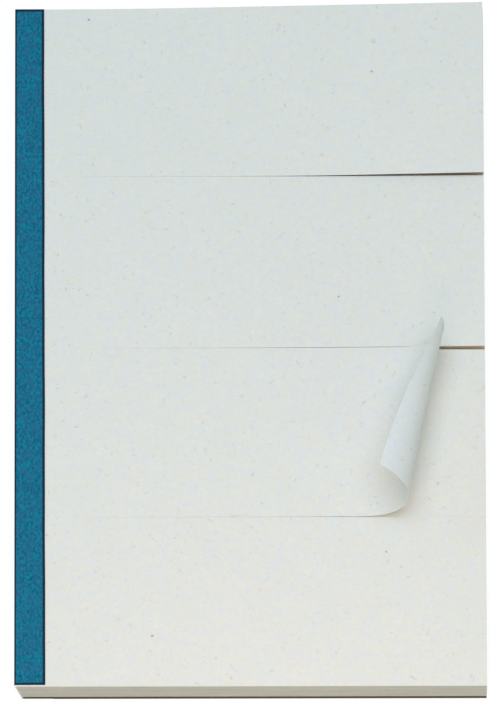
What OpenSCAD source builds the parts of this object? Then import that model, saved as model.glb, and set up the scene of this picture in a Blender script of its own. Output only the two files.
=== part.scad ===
// Tear-off strip pad: glued sheets on a backing board, bound with cloth tape along
// one long edge. Knife cuts from the fore-edge divide every sheet into strips.
// +X runs from the spine to the fore-edge, +Y to the head, +Z up from the table.

/* [Pad] */
// Width of the pad, from the spine to the fore-edge
pad_w = 140; // [120:1:220]
// Length of the pad, from the tail to the head
pad_l = 216; // [160:1:300]
// Number of sheets, the loose top sheet included
sheet_count = 80; // [20:1:150]
// Thickness of one sheet
sheet_t = 0.11; // [0.08:0.01:0.2]
// Distance that the spine leans in, from the front to the back
spine_lean = 2.16; // [0:0.04:4]

/* [Strips] */
// Number of strips that each sheet is cut into
strip_count = 4; // [3:1:6]
// Width of a knife cut
cut_w = 0.1; // [0.06:0.01:0.3]
// Distance from the tape to the inner ends of the cuts
cut_margin = 5; // [2:0.5:20]
// Distance of each cut from its even place, towards the head
first_cut_shift = 0.2; // [-2:0.1:2]
second_cut_shift = -0.7; // [-2:0.1:2]
third_cut_shift = -0.5; // [-2:0.1:2]

/* [Backing board] */
// Thickness of the board
board_t = 2; // [0.6:0.1:3]

/* [Binding] */
// Thickness of the tape
tape_t = 0.2; // [0.1:0.05:0.5]
// Width of the tape on the front of the pad
front_flap = 9.2; // [6:0.1:16]
// Width of the tape on the back of the pad
back_flap = 9.2; // [6:0.1:16]
// Thickness of the glue between the sheets and the tape
glue_t = 0.4; // [0.2:0.1:1]

/* [Raised strips] */
// Height of the first strip's free end above the sheet below it
first_lift = 3.3; // [0.5:0.1:8]
// Height of the second strip's free end above the sheet below it
second_lift = 1.3; // [0.3:0.1:3]
// Length of a raised strip that stays flat, from the inner end of its cut
lift_flat = 35; // [25:1:50]
// Angle between a raised strip's bend line and the spine
lift_lean = 11; // [0:0.5:14]

/* [Curled strip] */
// Outer radius of the roll
curl_radius = 11.8; // [9:0.1:18]
// Length of the strip's tail edge that is rolled up
curl_length = 35.3; // [30:0.1:48]
// Angle between the roll's axis and the spine
curl_lean = 11.8; // [0:0.1:15]

/* [Hidden] */

// Facets along the free part of a strip, and across it
free_steps = 28;
cross_steps = 6;

// Heights of the stack; the tape is pressed into the board, level with its underside
block_h = (sheet_count - 1) * sheet_t;
sheet_z = board_t + block_h;
stack_h = sheet_z + sheet_t;

// Places across the pad
spine_x = -pad_w / 2;
fore_x = pad_w / 2;
front_x = spine_x + front_flap;
back_x = spine_x + spine_lean + back_flap;
cut_x = front_x + cut_margin;

// Outer face of the tape, of the glue and of the sheets at height z on the leaning spine
function spine_at(z) = spine_x + spine_lean * (stack_h - z) / stack_h;
function glue_at(z) = spine_at(z) + tape_t;
function page_at(z) = glue_at(z) + glue_t;

// Strips are counted from the head: the first two are raised and the third is curled
strip_l = pad_l / strip_count;
lift_x = cut_x + lift_flat;
curl_x = fore_x - curl_length;

// Middle of the cut below strip i, and strip i's tail and head edges, half a cut from it
function cut_shift(i) = i == 0 ? first_cut_shift : i == 1 ? second_cut_shift : i == 2 ? third_cut_shift : 0;
function cut_y(i) = pad_l / 2 - (i + 1) * strip_l + cut_shift(i);
function tail_edge(i) = i < strip_count - 1 ? cut_y(i) + cut_w / 2 : -pad_l / 2;
function head_edge(i) = i > 0 ? cut_y(i - 1) - cut_w / 2 : pad_l / 2;

// Strip i's bend: its radius, the place where the bend line meets the strip's tail edge,
// and the line's lean towards the fore-edge; a radius of 0 leaves the strip flat
function lift_radius(lift) = let (run = fore_x - lift_x) (run * run + lift * lift) / (2 * lift);
function strip_bend(i) =
    i == 0 ? [lift_radius(first_lift), [lift_x, tail_edge(i)], -lift_lean] :
    i == 1 ? [lift_radius(second_lift), [lift_x, tail_edge(i)], -lift_lean] :
    i == 2 ? [curl_radius, [curl_x, tail_edge(i)], curl_lean] :
    [0, [lift_x, tail_edge(i)], 0];

// Where a point of the flat sheet goes when the sheet is bent round a cylinder whose axis
// lies along the bend line; depth is counted from the sheet's lower face
function bent_point(bend, flat, depth) =
    let (
        along = [sin(bend[2]), cos(bend[2])],
        across = [along.y, -along.x],
        from_line = flat - bend[1],
        turn = (from_line * across) / bend[0] * 180 / PI,
        inner = bend[0] - depth,
        place = bend[1] + inner * sin(turn) * across + (from_line * along) * along
    )
    [place.x, place.y, bend[0] - inner * cos(turn)];

// Points across one row of strip i, at height y on the flat sheet: the spine edge, the
// inner end of the cut, then even steps from the bend line to the fore-edge
function row_points(i, y, depth) =
    let (
        bend = strip_bend(i),
        start = bend[1].x + (y - bend[1].y) * tan(bend[2])
    )
    [
        [page_at(sheet_z), y, depth],
        [cut_x, y, depth],
        for (c = [0:free_steps])
            let (flat = [start + (fore_x - start) * c / free_steps, y])
            bend[0] > 0 ? bent_point(bend, flat, depth) : [flat.x, flat.y, depth]
    ];

function two_triangles(a, b, c, d) = [[a, b, c], [a, c, d]];

// A sheet of even thickness, as a grid of cells from tail to head and from spine to
// fore-edge; cells between two strips stop at the cut's inner end
module bent_sheet() {
    strip_rows = cross_steps + 1;
    rows = strip_count * strip_rows;
    columns = free_steps + 3;
    upper = rows * columns;
    points = [
        for (depth = [0, sheet_t], i = [strip_count - 1:-1:0], r = [0:cross_steps])
            each row_points(i, tail_edge(i) + (head_edge(i) - tail_edge(i)) * r / cross_steps, depth)
    ];
    function is_cell(r, c) =
        r >= 0 && r < rows - 1 && c >= 0 && c < columns - 1 && (c == 0 || (r + 1) % strip_rows > 0);
    // Each cell has two skins, and a wall on each side where it has no neighbour
    faces = [
        for (r = [0:rows - 2], c = [0:columns - 2])
            if (is_cell(r, c))
                let (a = r * columns + c, b = a + 1, d = a + columns, e = d + 1)
                each concat(
                    two_triangles(a, b, e, d),
                    two_triangles(upper + a, upper + d, upper + e, upper + b),
                    is_cell(r - 1, c) ? [] : two_triangles(upper + a, upper + b, b, a),
                    is_cell(r + 1, c) ? [] : two_triangles(upper + e, upper + d, d, e),
                    is_cell(r, c - 1) ? [] : two_triangles(upper + d, upper + a, a, d),
                    is_cell(r, c + 1) ? [] : two_triangles(upper + b, upper + e, e, b)
                )
    ];
    polyhedron(points, faces);
}

// A section in x and z, run along the whole length of the pad
module along_spine() {
    rotate([90, 0, 0]) linear_extrude(pad_l, center = true) children();
}

module backing_board() {
    color("#938f82")
        along_spine() polygon([
            [page_at(tape_t), tape_t], [back_x, tape_t], [back_x, 0],
            [fore_x, 0], [fore_x, board_t], [page_at(board_t), board_t]
        ]);
}

module page_block() {
    color("#dddcd2")
        difference() {
            along_spine() polygon([
                [page_at(board_t), board_t], [fore_x, board_t],
                [fore_x, sheet_z], [page_at(sheet_z), sheet_z]
            ]);
            for (i = [0:strip_count - 2])
                translate([cut_x, tail_edge(i) - cut_w, 0]) cube([pad_w, cut_w, stack_h]);
        }
}

module top_sheet() {
    color("#e4e4df")
        translate([0, 0, sheet_z]) bent_sheet();
}

// Quarter round where the tape turns from the spine on to a flap
module tape_corner(side) {
    intersection() {
        circle(tape_t, $fn = 32);
        translate([-tape_t, side > 0 ? 0 : -tape_t]) square(tape_t);
    }
}

module spine_tape() {
    color("#1d6d8a")
        along_spine() {
            translate([glue_at(tape_t), 0]) square([back_x - glue_at(tape_t), tape_t]);
            translate([glue_at(stack_h), stack_h]) square([front_x - glue_at(stack_h), tape_t]);
            polygon([
                [spine_at(tape_t), tape_t], [glue_at(tape_t), tape_t],
                [glue_at(stack_h), stack_h], [spine_at(stack_h), stack_h]
            ]);
            translate([glue_at(tape_t), tape_t]) tape_corner(-1);
            translate([glue_at(stack_h), stack_h]) tape_corner(1);
        }
}

module spine_glue() {
    color("#e8e4d4")
        along_spine() polygon([
            [glue_at(tape_t), tape_t], [page_at(tape_t), tape_t],
            [page_at(stack_h), stack_h], [glue_at(stack_h), stack_h]
        ]);
}

backing_board();
page_block();
top_sheet();
spine_tape();
spine_glue();
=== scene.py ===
"""Looks of the tear-off strip pad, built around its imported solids.

The loose top sheet, the sheets below it, the tape and the board are modelled finely here and
take the place of their solids. +X runs from the spine to the fore-edge, +Y to the head, +Z up.
"""

import math

import bmesh
import bpy
from mathutils import Matrix, Vector


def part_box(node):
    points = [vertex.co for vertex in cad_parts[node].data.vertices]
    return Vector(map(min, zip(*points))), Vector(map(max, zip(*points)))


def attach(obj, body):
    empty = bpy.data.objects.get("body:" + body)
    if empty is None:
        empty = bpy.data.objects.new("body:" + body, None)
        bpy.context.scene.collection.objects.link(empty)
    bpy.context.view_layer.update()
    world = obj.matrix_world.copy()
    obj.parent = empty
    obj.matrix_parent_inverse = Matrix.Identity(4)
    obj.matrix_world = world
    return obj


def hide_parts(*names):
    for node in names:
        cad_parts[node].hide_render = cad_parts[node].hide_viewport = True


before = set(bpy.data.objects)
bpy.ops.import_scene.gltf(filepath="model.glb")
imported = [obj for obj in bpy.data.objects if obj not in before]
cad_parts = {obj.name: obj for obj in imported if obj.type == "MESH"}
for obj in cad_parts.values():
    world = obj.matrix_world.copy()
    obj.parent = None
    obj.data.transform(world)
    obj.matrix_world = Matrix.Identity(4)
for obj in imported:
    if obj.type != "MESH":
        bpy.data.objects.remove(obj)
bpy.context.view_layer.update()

MM = 0.001

# Places taken from the solids
_, board_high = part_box("backing_board")
block_low, block_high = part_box("page_block")
sheet_low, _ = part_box("top_sheet")
tape_low, tape_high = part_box("spine_tape")
SPINE_X, FORE_X = tape_low.x, block_high.x
PAGE_X = block_low.x
TAIL_Y, HEAD_Y = block_low.y, block_high.y
SHEET_Z = sheet_low.z

# Sheets and cuts
SHEET_T = 0.11 * MM
SHEET_AIR = 0.01 * MM
STRIPS = 4
STRIP_L = (HEAD_Y - TAIL_Y) / STRIPS
FRONT_FLAP = 9.2 * MM
CUT_MARGIN = 5 * MM
CUT_X = SPINE_X + FRONT_FLAP + CUT_MARGIN
KNIFE_W = 0.006 * MM
# How far each cut lies off its even place towards the head, counted from the head
CUT_SHIFTS = (0.2 * MM, -0.7 * MM, -0.5 * MM)
# How far a strip's edge draws back from its cut at the fore-edge: on the loose sheet, then in the
# stack on the tail side and the head side of each cut, with the depth at which the cut is closed
LOOSE_OPENING = 0.07 * MM
STACK_OPENINGS = (
    (0.02 * MM, 1.25 * MM, 30 * MM),
    (0.6 * MM, 0.7 * MM, 2.2 * MM),
    (0.01 * MM, 0.01 * MM, 30 * MM),
)

# The spine leans in from the front to the back
STACK_H = SHEET_Z + SHEET_T
SPINE_LEAN = 2.16 * MM
SPINE_SLOPE = SPINE_LEAN / STACK_H

# Bends of the top sheet's strips, freer than the solid's: where a bend meets the strip's tail
# edge, and how far it leans from the spine. After its turn, in radians, the first goes straight on
FIRST_BEND = CUT_X + 48 * MM
FIRST_RADIUS = 390 * MM
FIRST_TURN = 0.0765
FIRST_LEAN = math.radians(-45)
SECOND_BEND = CUT_X + 35 * MM
SECOND_LIFT = 1.4 * MM
SECOND_LEAN = math.radians(20)
# The roll is a little tighter in its middle than the solid's even one, and its strip also rises
# a little from the middle of the pad on
CURL_X = FORE_X - 35.65 * MM
CURL_LEAN = math.radians(13.7)
CURL_RADIUS = 12.4 * MM
CURL_TAPER = -4.95 * MM
CURL_FLARE = 3.9 * MM
CURL_BOW = -1.6 * MM
CURL_RISE = 1.6 * MM
CURL_RISE_FROM = 0.0


# Node trees

class Field:
    """A socket of a node tree that takes part in arithmetic."""

    def __init__(self, tree, socket):
        self.tree = tree
        self.socket = socket

    def work(self, operation, *others):
        node = self.tree.nodes.new("ShaderNodeMath")
        node.operation = operation
        for slot, value in zip(node.inputs, (self, *others)):
            put(self.tree, slot, value)
        return Field(self.tree, node.outputs[0])

    def __add__(self, other):
        return self.work("ADD", other)

    def __sub__(self, other):
        return self.work("SUBTRACT", other)

    def __mul__(self, other):
        return self.work("MULTIPLY", other)

    def __truediv__(self, other):
        return self.work("DIVIDE", other)


def put(tree, slot, value):
    """Links a socket to a node's input, or sets the input to a plain value."""
    if isinstance(value, Field):
        value = value.socket
    if isinstance(value, bpy.types.NodeSocket):
        tree.links.new(value, slot)
    else:
        slot.default_value = value


def add_node(tree, kind, inputs=None, **settings):
    """Adds a node, with its settings and its inputs by name or number."""
    node = tree.nodes.new(kind)
    for name, value in settings.items():
        setattr(node, name, value)
    for slot, value in (inputs or {}).items():
        put(tree, node.inputs[slot], value)
    return node


def new_tree(name, inputs):
    """A geometry tree with named inputs, given as (name, socket type), and one geometry output."""
    tree = bpy.data.node_groups.new(name, "GeometryNodeTree")
    for label, kind in inputs:
        tree.interface.new_socket(label, in_out="INPUT", socket_type=kind)
    tree.interface.new_socket("Geometry", in_out="OUTPUT", socket_type="NodeSocketGeometry")
    start = tree.nodes.new("NodeGroupInput")
    values = {label: Field(tree, start.outputs[label]) for label, _ in inputs}
    return tree, values


def end_tree(tree, socket):
    end = tree.nodes.new("NodeGroupOutput")
    tree.links.new(socket, end.inputs["Geometry"])


def bake_piece(name, tree, values, base=None, finish=None):
    """Runs a geometry tree on a mesh and keeps the result as a plain mesh object."""
    maker = bpy.data.objects.new(name + "_maker", base or bpy.data.meshes.new(name + "_start"))
    bpy.context.scene.collection.objects.link(maker)
    modifier = maker.modifiers.new("make", "NODES")
    modifier.node_group = tree
    for item in tree.interface.items_tree:
        if item.in_out == "INPUT" and item.name in values:
            modifier[item.identifier] = values[item.name]
    if finish:
        finish(maker)
    return settle(name, maker)


def settle(name, maker):
    """Turns an object with its modifiers into a plain mesh object."""
    evaluated = maker.evaluated_get(bpy.context.evaluated_depsgraph_get())
    mesh = bpy.data.meshes.new_from_object(evaluated)
    bpy.data.objects.remove(maker)
    mesh.name = name
    return place_piece(name, mesh)


def place_piece(name, mesh):
    piece = bpy.data.objects.new(name, mesh)
    bpy.context.scene.collection.objects.link(piece)
    return piece


def smooth_by_angle(mesh, degrees):
    mesh.shade_smooth()
    mesh.set_sharp_from_angle(angle=math.radians(degrees))


# Top sheet

FLOAT, INT, GEOMETRY = "NodeSocketFloat", "NodeSocketInt", "NodeSocketGeometry"
STRIP_INPUTS = [
    ("Tail", FLOAT), ("Head", FLOAT), ("Spine", FLOAT), ("Fore Edge", FLOAT), ("Height", FLOAT),
    ("Cut End", FLOAT), ("Opening", FLOAT), ("Bend", FLOAT), ("Lean", FLOAT), ("Bow", FLOAT),
    ("Radius", FLOAT), ("Taper", FLOAT), ("Flare", FLOAT), ("Most Turn", FLOAT), ("Rise", FLOAT),
    ("Rise From", FLOAT),
]
STRIP_COLUMNS, STRIP_ROWS = 190, 15


def strip_tree():
    """One strip of a sheet: a grid that is bent round a roll beyond a leaning line.

    Radius is the roll's at the strip's tail; Taper and Flare change it along the roll, and Bow
    bends the line. After Most Turn the strip goes straight on. Rise lifts it towards the fore-edge,
    and Opening draws its sides in there.
    """
    tree, v = new_tree("bend strip", STRIP_INPUTS)
    grid = add_node(tree, "GeometryNodeMeshGrid", {
        "Size X": v["Fore Edge"] - v["Spine"],
        "Size Y": v["Head"] - v["Tail"],
        "Vertices X": STRIP_COLUMNS,
        "Vertices Y": STRIP_ROWS,
    })
    spot = add_node(tree, "GeometryNodeInputPosition")
    parts = add_node(tree, "ShaderNodeSeparateXYZ", {0: spot.outputs[0]})
    x = Field(tree, parts.outputs["X"]) + (v["Fore Edge"] + v["Spine"]) * 0.5
    y = Field(tree, parts.outputs["Y"])
    reach = (x - v["Cut End"]).work("MAXIMUM", 0.0) / (v["Fore Edge"] - v["Cut End"])
    y = y - y / (v["Head"] - v["Tail"]) * reach * v["Opening"] * 2.0 + (v["Head"] + v["Tail"]) * 0.5
    sine, cosine = v["Lean"].work("SINE"), v["Lean"].work("COSINE")
    from_x, from_y = x - v["Bend"], y - v["Tail"]
    along = from_x * sine + from_y * cosine
    share = along / (v["Head"] - v["Tail"])
    radius = v["Radius"] + v["Taper"] * share + v["Flare"] * share * share
    bow = v["Bow"] * share * share
    across = from_x * cosine - from_y * sine - bow
    beyond = across.work("MAXIMUM", 0.0)
    turn = (beyond / radius).work("MINIMUM", v["Most Turn"])
    straight = beyond - radius * turn
    out = across.work("MINIMUM", 0.0) + radius * turn.work("SINE")
    out = out + straight * turn.work("COSINE") + bow
    up = radius - radius * turn.work("COSINE") + straight * turn.work("SINE")
    new_x = v["Bend"] + out * cosine + along * sine
    new_y = v["Tail"] - out * sine + along * cosine
    run = (new_x - v["Rise From"]).work("MAXIMUM", 0.0) / (v["Fore Edge"] - v["Rise From"])
    new_z = v["Height"] + up + v["Rise"] * run * run
    flat = add_node(tree, "ShaderNodeCombineXYZ", {"X": x, "Y": y})
    kept = add_node(
        tree, "GeometryNodeStoreNamedAttribute",
        {"Geometry": grid.outputs["Mesh"], "Name": "flat_place", "Value": flat.outputs[0]},
        data_type="FLOAT_VECTOR", domain="POINT",
    )
    place = add_node(tree, "ShaderNodeCombineXYZ", {"X": new_x, "Y": new_y, "Z": new_z})
    moved = add_node(
        tree, "GeometryNodeSetPosition",
        {"Geometry": kept.outputs[0], "Position": place.outputs[0]},
    )
    end_tree(tree, moved.outputs[0])
    return tree


def lift_radius(lift, start):
    """Radius of a bend that raises the fore-edge by that lift, from its start on."""
    run = FORE_X - start
    return (run * run + lift * lift) / (2 * lift)


def cut_y(i):
    """Place of the cut below strip i, counted from the head."""
    return HEAD_Y - (i + 1) * STRIP_L + CUT_SHIFTS[i]


def strip_values(i):
    """Strip i's place and bend, counted from the head."""
    flat = {"Bend": FORE_X, "Lean": 0.0, "Radius": 1.0}
    bends = [
        {"Bend": FIRST_BEND, "Lean": FIRST_LEAN, "Radius": FIRST_RADIUS, "Most Turn": FIRST_TURN},
        {"Bend": SECOND_BEND, "Lean": SECOND_LEAN, "Radius": lift_radius(SECOND_LIFT, SECOND_BEND)},
        {
            "Bend": CURL_X, "Lean": CURL_LEAN, "Bow": CURL_BOW,
            "Radius": CURL_RADIUS, "Taper": CURL_TAPER, "Flare": CURL_FLARE,
            "Rise": CURL_RISE, "Rise From": CURL_RISE_FROM,
        },
    ]
    return {
        "Tail": cut_y(i) + KNIFE_W / 2 if i < STRIPS - 1 else TAIL_Y,
        "Head": cut_y(i - 1) - KNIFE_W / 2 if i > 0 else HEAD_Y,
        "Spine": PAGE_X,
        "Fore Edge": FORE_X,
        "Height": SHEET_Z,
        "Cut End": CUT_X,
        "Opening": LOOSE_OPENING,
        "Most Turn": 2 * math.pi,
        **(bends[i] if i < len(bends) else flat),
    }


def top_sheet_tree(material):
    """All strips of the sheet, joined along the uncut margin at the spine."""
    tree, v = new_tree("top sheet", [("Cut End", FLOAT), ("Join Width", FLOAT)])
    strip = strip_tree()
    joined = add_node(tree, "GeometryNodeJoinGeometry")
    for i in range(STRIPS):
        part = add_node(tree, "GeometryNodeGroup", node_tree=strip)
        for label, value in strip_values(i).items():
            put(tree, part.inputs[label], value)
        tree.links.new(part.outputs[0], joined.inputs[0])
    spot = add_node(tree, "GeometryNodeInputPosition")
    parts = add_node(tree, "ShaderNodeSeparateXYZ", {0: spot.outputs[0]})
    uncut = Field(tree, parts.outputs["X"]).work("LESS_THAN", v["Cut End"])
    merged = add_node(
        tree, "GeometryNodeMergeByDistance",
        {"Geometry": joined.outputs[0], "Selection": uncut, "Distance": v["Join Width"]},
    )
    real = add_node(tree, "GeometryNodeRealizeInstances", {"Geometry": merged.outputs[0]})
    painted = add_node(
        tree, "GeometryNodeSetMaterial", {"Geometry": real.outputs[0], "Material": material}
    )
    end_tree(tree, painted.outputs[0])
    return tree


def thicken(maker):
    solid = maker.modifiers.new("thickness", "SOLIDIFY")
    solid.thickness = SHEET_T
    solid.offset = 1.0


def make_top_sheet(material, under_material):
    tree = top_sheet_tree(material)
    values = {"Cut End": CUT_X, "Join Width": 2 * KNIFE_W}
    piece = bake_piece("loose_top_sheet", tree, values, finish=thicken)
    smooth_by_angle(piece.data, degrees=40)
    # The underside's faces follow those of the upper side, one for each cell of the strips' grids
    piece.data.materials.append(under_material)
    cell_count = STRIPS * (STRIP_COLUMNS - 1) * (STRIP_ROWS - 1)
    for face in piece.data.polygons[cell_count:2 * cell_count]:
        face.material_index = len(piece.data.materials) - 1
    return piece


# Sheets below

STACK_INPUTS = [
    ("Geometry", GEOMETRY), ("Sheets", INT), ("Pitch", FLOAT), ("Slip", FLOAT), ("Seed", INT),
    ("Spine Slope", FLOAT), ("Stack Top", FLOAT), ("Cut End", FLOAT), ("Inside", FLOAT),
]
PAGE_SLIP = 0.05 * MM
PAGE_SEED = 7
# Room beside the cuts' inner ends, the tail and the head where inner and outer points are told apart
INSIDE_MARGIN = 1 * MM
# A face looks along an axis where its normal's part along that axis is larger than this
FACING = 0.5


def comb_sheet():
    """One sheet with its cuts, as a closed slab at the foot of the stack.

    Each corner keeps how far it moves where its cut opens, and how deep the opening goes.
    """
    # The other corners stay where they are: no opening, whatever its depth
    stays = (0, 1)
    corners = [(PAGE_X, TAIL_Y, *stays), (FORE_X, TAIL_Y, *stays)]
    for i in reversed(range(STRIPS - 1)):
        y = cut_y(i)
        tail_side, head_side, depth = STACK_OPENINGS[i]
        corners.append((FORE_X, y - KNIFE_W / 2, -tail_side, depth))
        corners.append((CUT_X, y, *stays))
        corners.append((FORE_X, y + KNIFE_W / 2, head_side, depth))
    corners += [(FORE_X, HEAD_Y, *stays), (PAGE_X, HEAD_Y, *stays)]
    bm = bmesh.new()
    opening_layer = bm.verts.layers.float.new("opening")
    depth_layer = bm.verts.layers.float.new("opening_depth")
    outline = []
    for x, y, opening, depth in corners:
        vert = bm.verts.new((x, y, block_low.z))
        vert[opening_layer] = opening
        vert[depth_layer] = depth
        outline.append(vert)
    face = bm.faces.new(outline)
    grown = bmesh.ops.extrude_face_region(bm, geom=[face])
    lifted = [item for item in grown["geom"] if isinstance(item, bmesh.types.BMVert)]
    bmesh.ops.translate(bm, verts=lifted, vec=(0, 0, SHEET_T - SHEET_AIR))
    bmesh.ops.recalc_face_normals(bm, faces=bm.faces)
    mesh = bpy.data.meshes.new("comb_sheet")
    bm.to_mesh(mesh)
    bm.free()
    return mesh


def kept_number(tree, name):
    """A number that each point of the geometry keeps."""
    node = add_node(tree, "GeometryNodeInputNamedAttribute", {"Name": name})
    return Field(tree, node.outputs["Attribute"])


def stack_tree(faces_material, edges_material, walls_material):
    """Copies of one sheet, a sheet apart, each slipped a little in its own plane."""
    tree, v = new_tree("page stack", STACK_INPUTS)
    rise = add_node(tree, "ShaderNodeCombineXYZ", {"Z": v["Pitch"]})
    line = add_node(tree, "GeometryNodeMeshLine", {
        "Count": v["Sheets"], "Start Location": (0, 0, 0), "Offset": rise.outputs[0],
    })
    sheets = add_node(tree, "GeometryNodeInstanceOnPoints", {
        "Points": line.outputs[0], "Instance": v["Geometry"],
    })
    most = add_node(tree, "ShaderNodeCombineXYZ", {"X": v["Slip"], "Y": v["Slip"]})
    least = add_node(
        tree, "ShaderNodeVectorMath", {0: most.outputs[0], 1: (-1, -1, 0)}, operation="MULTIPLY"
    )
    slip = add_node(
        tree, "FunctionNodeRandomValue",
        {"Min": least.outputs[0], "Max": most.outputs[0], "Seed": v["Seed"]},
        data_type="FLOAT_VECTOR",
    )
    slipped = add_node(tree, "GeometryNodeTranslateInstances", {
        "Instances": sheets.outputs[0], "Translation": slip.outputs[0],
    })
    tone = add_node(tree, "FunctionNodeRandomValue", {"Seed": v["Seed"]}, data_type="FLOAT")
    toned = add_node(
        tree, "GeometryNodeStoreNamedAttribute",
        {"Geometry": slipped.outputs[0], "Name": "sheet_tone", "Value": tone.outputs[1]},
        data_type="FLOAT", domain="INSTANCE",
    )
    real = add_node(tree, "GeometryNodeRealizeInstances", {"Geometry": toned.outputs[0]})
    spot = add_node(tree, "GeometryNodeInputPosition")
    where = add_node(tree, "ShaderNodeSeparateXYZ", {0: spot.outputs[0]})
    at_spine = Field(tree, where.outputs["X"]).work("LESS_THAN", v["Cut End"])
    down = v["Stack Top"] - Field(tree, where.outputs["Z"])
    lean = add_node(tree, "ShaderNodeCombineXYZ", {"X": down * v["Spine Slope"]})
    leaning = add_node(tree, "GeometryNodeSetPosition", {
        "Geometry": real.outputs[0], "Selection": at_spine, "Offset": lean.outputs[0],
    })
    opening = kept_number(tree, "opening")
    closed = (down / kept_number(tree, "opening_depth")).work("MINIMUM", 1.0)
    apart = add_node(tree, "ShaderNodeCombineXYZ", {"Y": opening - opening * closed})
    opened = add_node(tree, "GeometryNodeSetPosition", {
        "Geometry": leaning.outputs[0], "Offset": apart.outputs[0],
    })
    edged = add_node(
        tree, "GeometryNodeSetMaterial", {"Geometry": opened.outputs[0], "Material": edges_material}
    )
    normal = add_node(tree, "GeometryNodeInputNormal")
    parts = add_node(tree, "ShaderNodeSeparateXYZ", {0: normal.outputs[0]})
    sideways = Field(tree, parts.outputs["Y"]).work("ABSOLUTE").work("GREATER_THAN", FACING)
    inside = Field(tree, where.outputs["Y"]).work("ABSOLUTE").work("LESS_THAN", v["Inside"])
    walled = add_node(tree, "GeometryNodeSetMaterial", {
        "Geometry": edged.outputs[0], "Selection": sideways * inside, "Material": walls_material,
    })
    level = Field(tree, parts.outputs["Z"]).work("ABSOLUTE").work("GREATER_THAN", FACING)
    faced = add_node(tree, "GeometryNodeSetMaterial", {
        "Geometry": walled.outputs[0], "Selection": level, "Material": faces_material,
    })
    end_tree(tree, faced.outputs[0])
    return tree


def make_page_stack(faces_material, edges_material, walls_material):
    tree = stack_tree(faces_material, edges_material, walls_material)
    values = {
        "Sheets": round((block_high.z - block_low.z) / SHEET_T),
        "Pitch": SHEET_T,
        "Slip": PAGE_SLIP,
        "Seed": PAGE_SEED,
        "Spine Slope": SPINE_SLOPE,
        "Stack Top": block_high.z,
        "Cut End": CUT_X - INSIDE_MARGIN,
        "Inside": HEAD_Y - INSIDE_MARGIN,
    }
    return bake_piece("page_stack", tree, values, base=comb_sheet())


# Tape

TAPE_T = 0.2 * MM
# Rows of points along the tape, and distances from its edges that have rows of their own
TAPE_STATIONS = 90
TAPE_RIM = (0.0, 0.25 * MM, 0.5 * MM, 0.75 * MM, 1.1 * MM)
# Width of the front flap at the head, where it is narrowest
TAPE_FRONT_HEAD = 8.7 * MM
TAPE_TAIL_GAP = 0.5 * MM
TAPE_EDGE_BREAK = 0.05 * MM
# Steps across the tape: on each flap, down the spine and round each fold
TAPE_BACK, TAPE_SPINE, TAPE_FRONT, TAPE_ROUND = 8, 10, 10, 6
# Small waves of the front edge along the tape: height, how fast they turn, and where they start
TAPE_WAVES = ((0.03 * MM, 19, 0), (0.02 * MM, 47, 1))
# Share of the distance from an edge that counts for the dark rim of painted shade: a smaller one makes it
# broader
RIM_SHARE, BROAD_RIM_SHARE = 0.75, 0.6


def tape_section(front_edge):
    """Closed outline of the folded tape as (x, z): its outside from the back edge round the spine
    to the front edge, then its inside; and the number of the point at the front fold.
    """
    low_z, high_z = tape_low.z + TAPE_T, tape_high.z - TAPE_T
    low_x = SPINE_X + (high_z - low_z) * SPINE_SLOPE + TAPE_T
    high_x = SPINE_X + TAPE_T
    back_edge = tape_high.x
    outer = [(back_edge - step, tape_low.z) for step in TAPE_RIM[:-1]]
    start = back_edge - TAPE_RIM[-1]
    for s in range(TAPE_BACK + 1):
        outer.append((start - (start - low_x) * s / TAPE_BACK, tape_low.z))
    for s in range(1, TAPE_ROUND):
        turn = math.pi / 2 * s / TAPE_ROUND
        outer.append((low_x - TAPE_T * math.sin(turn), low_z - TAPE_T * math.cos(turn)))
    for s in range(TAPE_SPINE + 1):
        x = low_x - TAPE_T + (high_x - low_x) * s / TAPE_SPINE
        outer.append((x, low_z + (high_z - low_z) * s / TAPE_SPINE))
    fold = len(outer) - 1
    for s in range(1, TAPE_ROUND):
        turn = math.pi / 2 * s / TAPE_ROUND
        outer.append((high_x - TAPE_T * math.cos(turn), high_z + TAPE_T * math.sin(turn)))
    outer += [(high_x + step, tape_high.z) for step in TAPE_RIM[:-1]]
    start, end = high_x + TAPE_RIM[-1], front_edge - TAPE_RIM[-1]
    for s in range(TAPE_FRONT + 1):
        outer.append((start + (end - start) * s / TAPE_FRONT, tape_high.z))
    outer += [(front_edge - step, tape_high.z) for step in reversed(TAPE_RIM[1:-1])]
    outer.append((front_edge - TAPE_EDGE_BREAK, tape_high.z))
    outer.append((front_edge, tape_high.z - TAPE_EDGE_BREAK))
    inner = [(front_edge, high_z), (high_x, high_z), (low_x, low_z), (back_edge, low_z)]
    return outer, inner, fold


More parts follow.
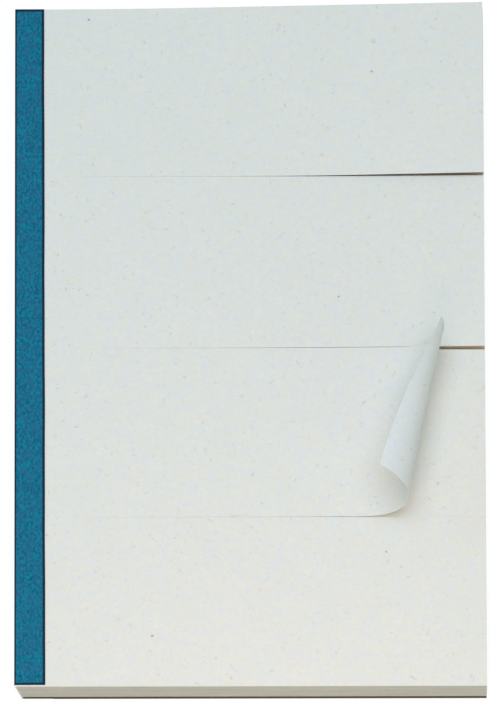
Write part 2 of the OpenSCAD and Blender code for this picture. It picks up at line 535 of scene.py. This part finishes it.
def make_tape(material):
    """Cloth tape folded over the spine, a little askew, so that its front narrows to the head."""
    bm = bmesh.new()
    across_layer = bm.verts.layers.float.new("tape_across")
    edge_layer = bm.verts.layers.float.new("edge_distance")
    tail_end = TAIL_Y + TAPE_TAIL_GAP
    length = HEAD_Y - tail_end
    steps = [length * k / TAPE_STATIONS for k in range(1, TAPE_STATIONS)]
    rows = []
    for y_step in [*TAPE_RIM, *steps, *[length - step for step in reversed(TAPE_RIM)]]:
        t = y_step / length
        y = tail_end + y_step
        front_edge = SPINE_X + FRONT_FLAP + (TAPE_FRONT_HEAD - FRONT_FLAP) * t
        front_edge += sum(height * math.sin(pace * t + start) for height, pace, start in TAPE_WAVES)
        outer, inner, fold = tape_section(front_edge)
        lengths = [0.0]
        for a, b in zip(outer, outer[1:]):
            lengths.append(lengths[-1] + math.dist(a, b))
        across = lengths + [lengths[-1]] * len(inner)
        row = []
        for (x, z), run in zip(outer + inner, across):
            vert = bm.verts.new((x, y, z))
            vert[across_layer] = run
            from_fold = abs(run - lengths[fold]) if z > SHEET_Z else run
            # The dark rim of painted shade is broader along the front edge and the head
            rim = RIM_SHARE * min(run, from_fold, y - tail_end)
            broad_rim = BROAD_RIM_SHARE * min(lengths[-1] - run, HEAD_Y - y)
            vert[edge_layer] = min(rim, broad_rim)
            row.append(vert)
        rows.append(row)
    for low, high in zip(rows, rows[1:]):
        count = len(low)
        for i in range(count):
            j = (i + 1) % count
            bm.faces.new((low[i], low[j], high[j], high[i]))
    bm.faces.new(rows[0])
    bm.faces.new(list(reversed(rows[-1])))
    bmesh.ops.recalc_face_normals(bm, faces=bm.faces)
    mesh = bpy.data.meshes.new("cloth_tape")
    bm.to_mesh(mesh)
    bm.free()
    mesh.materials.append(material)
    smooth_by_angle(mesh, degrees=35)
    return place_piece("cloth_tape", mesh)


# Board

BOARD_EDGE_BREAK = 0.08 * MM
SAME_PLACE = 0.001 * MM


def make_board(material):
    """The board's own solid with its cut edges a little broken."""
    bm = bmesh.new()
    bm.from_mesh(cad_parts["backing_board"].data)
    bmesh.ops.remove_doubles(bm, verts=bm.verts, dist=SAME_PLACE)
    bmesh.ops.dissolve_limit(bm, angle_limit=math.radians(1), verts=bm.verts, edges=bm.edges)
    mesh = bpy.data.meshes.new("chipboard_back_start")
    bm.to_mesh(mesh)
    bm.free()
    mesh.materials.append(material)
    maker = bpy.data.objects.new("chipboard_back_maker", mesh)
    bpy.context.scene.collection.objects.link(maker)
    broken = maker.modifiers.new("broken edges", "BEVEL")
    broken.width = BOARD_EDGE_BREAK
    broken.segments = 2
    broken.limit_method = "ANGLE"
    piece = settle("chipboard_back", maker)
    smooth_by_angle(piece.data, degrees=30)
    return piece


# Materials

# Most of a noise's values lie between these
NOISE_LOW, NOISE_HIGH = 0.3, 0.7


def ink(red, green, blue):
    """Linear colour of an sRGB colour written as 0 to 255."""
    parts = [c / 255 for c in (red, green, blue)]
    return (*[c / 12.92 if c < 0.04045 else ((c + 0.055) / 1.055) ** 2.4 for c in parts], 1.0)


def new_material(name):
    material = bpy.data.materials.new(name)
    material.use_nodes = True
    tree = material.node_tree
    tree.nodes.clear()
    shader = add_node(tree, "ShaderNodeBsdfPrincipled")
    add_node(tree, "ShaderNodeOutputMaterial", {"Surface": shader.outputs[0]})
    return material, tree, shader


def own_place(tree):
    return add_node(tree, "ShaderNodeTexCoord").outputs["Object"]


def attribute(tree, name, output="Fac"):
    return Field(tree, add_node(tree, "ShaderNodeAttribute", attribute_name=name).outputs[output])


def stretched(tree, place, x, y, z, turn=0.0):
    """The place with each axis scaled and turned, so that a grain runs along the axes scaled least."""
    node = add_node(tree, "ShaderNodeMapping", {
        "Vector": place, "Rotation": (0, 0, turn), "Scale": (x, y, z),
    })
    return node.outputs[0]


def noise(tree, place, grain, detail=2.0, roughness=0.5, distortion=0.0):
    """Noise with a grain of that size; returns its value, round 0.5, and its colour."""
    node = add_node(tree, "ShaderNodeTexNoise", {
        "Vector": place, "Scale": 1 / grain, "Detail": detail, "Roughness": roughness,
        "Distortion": distortion,
    })
    return Field(tree, node.outputs[0]), node.outputs[1]


def cells(tree, place, size):
    """Scattered cells of that size; returns the distance from a cell's middle and its own colour."""
    node = add_node(tree, "ShaderNodeTexVoronoi", {"Vector": place, "Scale": 1 / size})
    return Field(tree, node.outputs["Distance"]), node.outputs["Color"]


def ramp(tree, value, low=NOISE_LOW, high=NOISE_HIGH, start=0.0, end=1.0):
    """A smooth step from start to end, while the value goes from low to high."""
    node = add_node(
        tree, "ShaderNodeMapRange",
        {"Value": value, "From Min": low, "From Max": high, "To Min": start, "To Max": end},
        interpolation_type="SMOOTHSTEP",
    )
    return Field(tree, node.outputs[0])


def blend(tree, amount, first, second, way="MIX"):
    node = add_node(
        tree, "ShaderNodeMix", {0: amount, 6: first, 7: second}, data_type="RGBA", blend_type=way
    )
    return node.outputs[2]


def finish_surface(tree, shader, colour, roughness, height, depth, strength):
    """Gives a shader its colour and roughness, and a relief of that depth."""
    relief = add_node(tree, "ShaderNodeBump", {"Height": height, "Distance": depth, "Strength": strength})
    put(tree, shader.inputs["Base Color"], colour)
    put(tree, shader.inputs["Roughness"], roughness)
    put(tree, shader.inputs["Normal"], relief.outputs[0])


def random_part(tree, colour, part):
    """One channel of a cell's own colour, as a random number."""
    split = add_node(tree, "ShaderNodeSeparateColor", {0: colour})
    return Field(tree, split.outputs[part])


# Flecks in paper: size of the cells they are scattered in, their share of it, strength and rarity;
# and how far their outlines stray
FLECKS = (
    (14 * MM, 0.04, 0.55, 0.5),
    (5.5 * MM, 0.055, 0.3, 0.6),
    (2.6 * MM, 0.08, 0.35, 0.65),
    (1.5 * MM, 0.1, 0.2, 0.5),
)
FLECK_RAGGED = 0.7 * MM


def recycled_paper(name, place_name=None, cool=0.0):
    """Off-white recycled paper: cloudy, faintly tinted pulp with fibres and small flecks.

    Cool is the share of a bluer white: painted cool light, for the bluer light on the rolled strip's
    outside.
    """
    material, tree, shader = new_material(name)
    place = attribute(tree, place_name, "Vector").socket if place_name else own_place(tree)
    cloud, _ = noise(tree, place, 14 * MM, detail=3)
    pulp, tint = noise(tree, place, 1.3 * MM, detail=3, roughness=0.6)
    colour = blend(tree, ramp(tree, cloud), ink(231, 229, 219), ink(234, 231, 222))
    # Cooler patches, and darker ones where the pulp is thin
    turned = stretched(tree, place, 1.0, 1.0, 1.0, turn=0.4)
    hue, patch = noise(tree, turned, 3.6 * MM, detail=3, roughness=0.6)
    colour = blend(tree, ramp(tree, hue), colour, ink(227, 229, 227))
    # Painted cool light: a bluer white, as much as cool asks for
    colour = blend(tree, cool, colour, ink(218, 230, 240))
    colour = blend(tree, ramp(tree, pulp) * 0.2, colour, ink(214, 213, 207))
    colour = blend(tree, 0.08, colour, patch, "SOFT_LIGHT")
    colour = blend(tree, 0.16, colour, tint, "SOFT_LIGHT")
    # Short curved fibres, lighter and darker than the pulp
    strand, _ = noise(tree, place, 3.2 * MM, detail=1, distortion=0.6)
    gaps, _ = noise(tree, place, 1.9 * MM, detail=0)
    fibre = ramp(tree, (strand - 0.5).work("ABSOLUTE"), 0.012, 0.004) * ramp(tree, gaps, 0.56, 0.62)
    colour = blend(tree, fibre * 0.4, colour, ink(192, 188, 176))
    strand_b, _ = noise(tree, place, 2.3 * MM, detail=1, distortion=0.8)
    pale = ramp(tree, (strand_b - 0.47).work("ABSOLUTE"), 0.016, 0.006) * ramp(tree, gaps, 0.46, 0.40)
    colour = blend(tree, pale * 0.35, colour, ink(240, 240, 236))
    # Flecks of printed stock left in the pulp, with ragged outlines
    ragged = add_node(
        tree, "ShaderNodeVectorMath", {0: tint, 1: (FLECK_RAGGED, FLECK_RAGGED, 0), 2: place},
        operation="MULTIPLY_ADD",
    )
    for size, most, strength, rare in FLECKS:
        far, dye = cells(tree, ragged.outputs[0], size)
        chosen = ramp(tree, random_part(tree, dye, 0), rare, rare + 0.05)
        spot = ramp(tree, far, most, most * 0.45)
        fleck_colour = blend(tree, random_part(tree, dye, 1), ink(128, 110, 88), ink(96, 118, 134))
        colour = blend(tree, spot * chosen * strength, colour, fleck_colour)
    grain, _ = noise(tree, place, 0.22 * MM, detail=3, roughness=0.6)
    rough = ramp(tree, pulp, start=0.84, end=0.94)
    shader.inputs["Specular IOR Level"].default_value = 0.18
    finish_surface(tree, shader, colour, rough, pulp * 0.6 + grain * 0.4, 0.02 * MM, 0.5)
    return material


def page_edges():
    """Cut edges of the stack: thin lines of sheet, dusty, a little lighter next to the board."""
    material, tree, shader = new_material("cut page edges")
    place = own_place(tree)
    height = Field(tree, add_node(tree, "ShaderNodeSeparateXYZ", {0: place}).outputs["Z"])
    lines, _ = noise(tree, stretched(tree, place, 0.02, 0.02, 1.0), 0.35 * MM, detail=4, roughness=0.65)
    groups, _ = noise(tree, stretched(tree, place, 0.004, 0.004, 1.0), 1.6 * MM, detail=2)
    colour = blend(tree, ramp(tree, lines), ink(176, 184, 177), ink(210, 218, 211))
    colour = blend(tree, ramp(tree, groups, 0.35, 0.65) * 0.35, colour, ink(186, 195, 190))
    colour = blend(tree, attribute(tree, "sheet_tone") * 0.3, colour, ink(168, 175, 166))
    # Lighter towards the board
    near_board = ramp(tree, height, board_high.z + 1.1 * MM, board_high.z + 0.2 * MM)
    colour = blend(tree, near_board * 0.45, colour, ink(219, 223, 215))
    dust, tint = noise(tree, place, 0.8 * MM, detail=4, roughness=0.65)
    colour = blend(tree, 0.14, colour, tint, "SOFT_LIGHT")
    rough = ramp(tree, dust, start=0.86, end=0.97)
    shader.inputs["Specular IOR Level"].default_value = 0.12
    finish_surface(tree, shader, colour, rough, lines * 0.7 + dust * 0.3, 0.03 * MM, 0.6)
    return material


def cut_walls():
    """Walls of the knife cuts, browner than the outer edges: a painted tint for the warm shade inside the
    cuts.
    """
    material, tree, shader = new_material("walls of the cuts")
    place = own_place(tree)
    lines, tint = noise(tree, stretched(tree, place, 0.03, 0.03, 1.0), 0.3 * MM, detail=4, roughness=0.65)
    # Brown tones: painted tint for the warm shade inside the cuts
    colour = blend(tree, ramp(tree, lines), ink(206, 182, 138), ink(232, 212, 172))
    colour = blend(tree, 0.1, colour, tint, "SOFT_LIGHT")
    rough = ramp(tree, lines, start=0.8, end=0.95)
    shader.inputs["Specular IOR Level"].default_value = 0.1
    finish_surface(tree, shader, colour, rough, lines, 0.03 * MM, 0.5)
    return material


def blue_tape():
    """Dyed cloth tape: a fine weave, mottled teal and blue, with painted shade along its cut edges and
    fold.
    """
    material, tree, shader = new_material("blue cloth tape")
    place = own_place(tree)
    parts = add_node(tree, "ShaderNodeSeparateXYZ", {0: place})
    along = Field(tree, parts.outputs["Y"])
    across = attribute(tree, "tape_across")
    waver, _ = noise(tree, place, 2.5 * MM, detail=2)
    thread = 0.42 * MM
    warp = ((along / thread + waver * 0.5) * (2 * math.pi)).work("SINE")
    weft = ((across / thread + waver * 0.5) * (2 * math.pi)).work("SINE")
    weave = (warp * weft) * 0.5 + 0.5
    mottle, _ = noise(tree, stretched(tree, place, 1.0, 0.6, 1.0), 0.62 * MM, detail=4, roughness=0.7)
    fine, tint = noise(tree, place, 0.3 * MM, detail=3, roughness=0.6)
    patch, _ = noise(tree, place, 12 * MM, detail=2)
    colour = blend(tree, ramp(tree, mottle, 0.36, 0.64), ink(0, 80, 106), ink(12, 138, 166))
    colour = blend(tree, ramp(tree, fine, 0.42, 0.3) * 0.55, colour, ink(2, 74, 108))
    colour = blend(tree, ramp(tree, fine, 0.58, 0.7) * 0.5, colour, ink(36, 138, 166))
    hue, _ = noise(tree, place, 2.8 * MM, detail=3, roughness=0.6)
    colour = blend(tree, ramp(tree, hue) * 0.6, colour, ink(45, 100, 139))
    colour = blend(tree, weave * 0.18, colour, ink(4, 78, 106))
    colour = blend(tree, patch * 0.15, colour, ink(20, 116, 144))
    colour = blend(tree, 0.12, colour, tint, "SOFT_LIGHT")
    # Painted shade: a dark rim along the cut edges and the fold stands in for the shadow of the tape's
    # raised edges and the shading at the fold
    rim = ramp(tree, attribute(tree, "edge_distance") + (fine - 0.5) * (0.2 * MM), 0.55 * MM, 0.38 * MM)
    colour = blend(tree, rim * 0.92, colour, ink(14, 26, 44))
    rough = ramp(tree, mottle, start=0.62, end=0.78)
    shader.inputs["Specular IOR Level"].default_value = 0.1
    finish_surface(tree, shader, colour, rough, weave * 0.6 + fine * 0.4, 0.04 * MM, 0.6)
    return material


def chipboard():
    """Grey-brown board of pressed waste paper, with specks, fibres and a layered cut edge."""
    material, tree, shader = new_material("grey chipboard")
    place = own_place(tree)
    height = Field(tree, add_node(tree, "ShaderNodeSeparateXYZ", {0: place}).outputs["Z"])
    pulp, tint = noise(tree, place, 1.6 * MM, detail=5, roughness=0.65)
    layers, _ = noise(tree, stretched(tree, place, 0.03, 0.03, 1.0), 0.22 * MM, detail=3)
    colour = blend(tree, ramp(tree, pulp), ink(118, 113, 98), ink(142, 138, 122))
    colour = blend(tree, ramp(tree, layers, 0.4, 0.65) * 0.4, colour, ink(104, 100, 86))
    colour = blend(tree, 0.16, colour, tint, "SOFT_LIGHT")
    strand, _ = noise(tree, place, 4.5 * MM, detail=1, distortion=0.9)
    gaps, _ = noise(tree, place, 3.1 * MM, detail=0)
    fibre = ramp(tree, (strand - 0.5).work("ABSOLUTE"), 0.014, 0.004) * ramp(tree, gaps, 0.5, 0.58)
    colour = blend(tree, fibre * 0.4, colour, ink(186, 181, 166))
    far, dye = cells(tree, place, 2.1 * MM)
    speck = ramp(tree, far, 0.13, 0.05) * ramp(tree, random_part(tree, dye, 0), 0.45, 0.5)
    speck_colour = blend(tree, random_part(tree, dye, 1), ink(74, 66, 58), ink(208, 205, 196))
    colour = blend(tree, speck * 0.6, colour, speck_colour)
    # The cut edge is darkened nearly up to the sheets, but not on the underside: painted shade for the
    # shadow along the board's lower edge
    uneven = height + (pulp - 0.5) * (0.3 * MM)
    painted_edge_shade = ramp(tree, uneven, board_high.z, board_high.z - 0.35 * MM)
    painted_edge_shade = painted_edge_shade * ramp(tree, height, 0.02 * MM, 0.12 * MM)
    colour = blend(tree, painted_edge_shade * 0.7, colour, ink(74, 70, 58))
    rough = ramp(tree, pulp, start=0.82, end=0.95)
    shader.inputs["Specular IOR Level"].default_value = 0.15
    finish_surface(tree, shader, colour, rough, pulp * 0.5 + layers * 0.5, 0.05 * MM, 0.6)
    return material


def padding_glue():
    """Cream padding glue, dried in a rubbery skin with brush marks along the spine."""
    material, tree, shader = new_material("cream padding glue")
    place = own_place(tree)
    brush, _ = noise(tree, stretched(tree, place, 1.0, 0.05, 1.0), 0.5 * MM, detail=3)
    cloud, tint = noise(tree, place, 1.2 * MM, detail=3)
    colour = blend(tree, cloud, ink(222, 216, 198), ink(238, 233, 218))
    colour = blend(tree, ramp(tree, brush, 0.4, 0.7) * 0.3, colour, ink(206, 198, 176))
    colour = blend(tree, 0.1, colour, tint, "SOFT_LIGHT")
    rough = ramp(tree, brush, start=0.42, end=0.58)
    finish_surface(tree, shader, colour, rough, brush, 0.05 * MM, 0.6)
    return material


# Pieces

def build_pad():
    loose_paper = recycled_paper("recycled paper of the top sheet", "flat_place")
    # The underside shows on the roll's outside; its bluer white is painted cool light
    loose_under = recycled_paper("underside of the top sheet", "flat_place", cool=0.5)
    paper_faces = recycled_paper("recycled paper in the stack")
    pieces = [
        (make_top_sheet(loose_paper, loose_under), "top_sheet", "recycled_paper"),
        (make_page_stack(paper_faces, page_edges(), cut_walls()), "page_block", "page_edges"),
        (make_tape(blue_tape()), "spine_tape", "blue_tape"),
        (make_board(chipboard()), "backing_board", "chipboard"),
    ]
    for piece, node, finish in pieces:
        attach(piece, "root")
        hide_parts(node)
    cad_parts["spine_glue"].material_slots[0].material = padding_glue()


# Camera

CAMERA_DISTANCE = 6.6977
CAMERA_LENS = 1150
CAMERA_TURN = math.radians(-0.233)
CAMERA_ELEVATION = math.radians(68.998)
CAMERA_ROLL = math.radians(0.105)
CAMERA_SENSOR = 36
IMAGE_H = 704
PIXEL = CAMERA_DISTANCE * CAMERA_SENSOR / CAMERA_LENS / IMAGE_H
# How far the middle of the image lies from the middle of the pad, in pixels
IMAGE_RIGHT, IMAGE_DOWN = 0.3, 6.36


def place_camera():
    """A long lens from above and a little from the tail, as in the photograph."""
    middle = Vector((0, 0, STACK_H))
    level = math.cos(CAMERA_ELEVATION)
    back = Vector((
        math.sin(CAMERA_TURN) * level,
        -math.cos(CAMERA_TURN) * level,
        math.sin(CAMERA_ELEVATION),
    ))
    flat_right = Vector((0, 0, 1)).cross(back).normalized()
    flat_up = back.cross(flat_right)
    right = flat_right * math.cos(CAMERA_ROLL) + flat_up * math.sin(CAMERA_ROLL)
    up = flat_up * math.cos(CAMERA_ROLL) - flat_right * math.sin(CAMERA_ROLL)
    eye = middle + right * IMAGE_RIGHT * PIXEL - up * IMAGE_DOWN * PIXEL + back * CAMERA_DISTANCE
    data = bpy.data.cameras.new("camera")
    data.lens = CAMERA_LENS
    data.sensor_width = CAMERA_SENSOR
    camera = bpy.data.objects.new("camera", data)
    bpy.context.scene.collection.objects.link(camera)
    turned = Matrix((right, up, back)).transposed().to_4x4()
    camera.matrix_world = Matrix.Translation(eye) @ turned
    bpy.context.scene.camera = camera


# Floor, lamps and world

FLOOR_HALF = 4.0
# The floor lies a hair below the board, so that their faces don't coincide
FLOOR_GAP = 0.05 * MM


def seen_directly(tree):
    """1 for camera, glossy and transmission rays, which see the white background."""
    path = add_node(tree, "ShaderNodeLightPath")
    seen = Field(tree, path.outputs["Is Camera Ray"])
    seen = seen.work("MAXIMUM", Field(tree, path.outputs["Is Glossy Ray"]))
    return seen.work("MAXIMUM", Field(tree, path.outputs["Is Transmission Ray"]))


def floor_material():
    """A pale floor that looks white where it is seen directly, with the pad's faint shadow."""
    material = bpy.data.materials.new("white floor")
    material.use_nodes = True
    tree = material.node_tree
    tree.nodes.clear()
    pale = add_node(tree, "ShaderNodeBsdfDiffuse", {"Color": (0.8, 0.8, 0.79, 1)})
    faint = add_node(tree, "ShaderNodeBsdfDiffuse", {"Color": (0.12, 0.12, 0.12, 1)})
    glow = add_node(tree, "ShaderNodeEmission", {"Color": (1, 1, 1, 1), "Strength": 0.92})
    shown = add_node(tree, "ShaderNodeAddShader", {0: faint.outputs[0], 1: glow.outputs[0]})
    mixed = add_node(
        tree, "ShaderNodeMixShader", {0: seen_directly(tree), 1: pale.outputs[0], 2: shown.outputs[0]}
    )
    add_node(tree, "ShaderNodeOutputMaterial", {"Surface": mixed.outputs[0]})
    return material


def lay_floor():
    bm = bmesh.new()
    bmesh.ops.create_grid(bm, x_segments=1, y_segments=1, size=FLOOR_HALF)
    bmesh.ops.translate(bm, verts=bm.verts, vec=(0, 0, -FLOOR_GAP))
    mesh = bpy.data.meshes.new("floor")
    bm.to_mesh(mesh)
    bm.free()
    mesh.materials.append(floor_material())
    place_piece("floor", mesh)


# Lamps: place, size of their square, and what each adds to a level white face in red, green, blue
LAMPS = {
    "overhead": ((0.0, 0.0, 1.2), 1.0, (0.438, 0.545, 0.660)),
    "warm front": ((0.0, -0.25, 0.22), 0.15, (0.130, 0.084, 0.064)),
    "cool left": ((-0.6, 0.25, 0.3), 0.3, (0.0, 0.026, 0.041)),
    "low right": ((0.35, -0.35, 0.22), 0.2, (0.010, 0.016, 0.008)),
}
# What the sky adds to such a face
SKY = (0.403, 0.380, 0.323)


def hang_lamp(name, place, size, share):
    """A square lamp that points at the pad, with the power that its share takes."""
    away = Vector(place)
    level = max(share)
    data = bpy.data.lights.new(name, "AREA")
    data.shape = "SQUARE"
    data.size = size
    data.color = [part / level for part in share]
    data.energy = level * math.pi ** 2 * away.length ** 3 / away.z
    lamp = bpy.data.objects.new(name, data)
    lamp.location = away
    lamp.rotation_euler = away.to_track_quat("Z", "Y").to_euler()
    bpy.context.scene.collection.objects.link(lamp)


def light_room():
    world = bpy.data.worlds.new("studio")
    world.use_nodes = True
    tree = world.node_tree
    tree.nodes.clear()
    light = add_node(tree, "ShaderNodeBackground", {"Color": (*SKY, 1), "Strength": 1.0})
    white = add_node(tree, "ShaderNodeBackground", {"Color": (1, 1, 1, 1), "Strength": 1.0})
    mixed = add_node(
        tree, "ShaderNodeMixShader", {0: seen_directly(tree), 1: light.outputs[0], 2: white.outputs[0]}
    )
    add_node(tree, "ShaderNodeOutputWorld", {"Surface": mixed.outputs[0]})
    bpy.context.scene.world = world
    for name, (place, size, share) in LAMPS.items():
        hang_lamp(name, place, size, share)


place_camera()
build_pad()
lay_floor()
light_room()
bpy.context.scene.view_settings.view_transform = "Standard"

bpy.context.view_layer.update()
